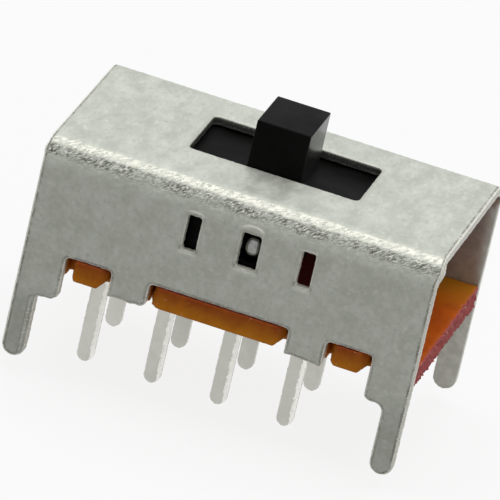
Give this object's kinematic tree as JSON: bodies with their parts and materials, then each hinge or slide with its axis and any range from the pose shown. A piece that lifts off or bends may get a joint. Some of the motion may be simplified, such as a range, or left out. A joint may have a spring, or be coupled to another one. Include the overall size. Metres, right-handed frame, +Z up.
{
  "type": "slide switch",
  "caption": "Through-hole slide switch: folded steel frame, terminal board with two rows of pins, and a black knob that slides between detents.",
  "frame": {"origin": "under the middle of the cover frame, on the plane of the terminal tips", "axes": "+X along the knob's travel, +Y across it towards the back wall, +Z up through the knob; the board seat is 4.35 mm above the origin"},
  "size_m": [0.0204, 0.0122, 0.0148],
  "materials": {
    "zinc_steel": "zinc coated sheet, matt, with cracked coating on the bends",
    "phenolic": "paper laminate, slightly translucent, rough where cut",
    "black_plastic": "moulded, satin",
    "tinned_brass": "tin plated, dull",
    "contact_bronze": "spring bronze, bright",
    "spring_steel": "bright drawn wire",
    "ball_steel": "polished"
  },
  "bodies": {
    "frame": {"cover_frame": "zinc_steel", "base_board": "phenolic", "terminal_front_1": "tinned_brass", "terminal_front_2": "tinned_brass", "terminal_front_3": "tinned_brass", "terminal_front_4": "tinned_brass", "terminal_back_1": "tinned_brass", "terminal_back_2": "tinned_brass", "terminal_back_3": "tinned_brass", "terminal_back_4": "tinned_brass"},
    "slider": {"slider": "black_plastic", "detent_spring": "spring_steel", "contact_bridge_front": "contact_bronze", "contact_bridge_back": "contact_bronze", "contact_spring_front": "spring_steel", "contact_spring_back": "spring_steel"},
    "front_ball": {"detent_ball_front": "ball_steel"},
    "back_ball": {"detent_ball_back": "ball_steel"}
  },
  "joints": [
    {"name": "slider_travel", "type": "slide", "parent": "frame", "child": "slider", "axis": [1, 0, 0], "range_m": [-0.00295, 0.00295]},
    {"name": "front_ball_press", "type": "slide", "parent": "slider", "child": "front_ball", "axis": [0, 1, 0], "range_m": [0, 0.00025], "stiffness_N_per_m": 20, "springref_m": -0.0005, "deforming": ["detent_spring"]},
    {"name": "back_ball_press", "type": "slide", "parent": "slider", "child": "back_ball", "axis": [0, -1, 0], "range_m": [0, 0.00025], "stiffness_N_per_m": 20, "springref_m": -0.0005, "deforming": ["detent_spring"]}
  ]
}
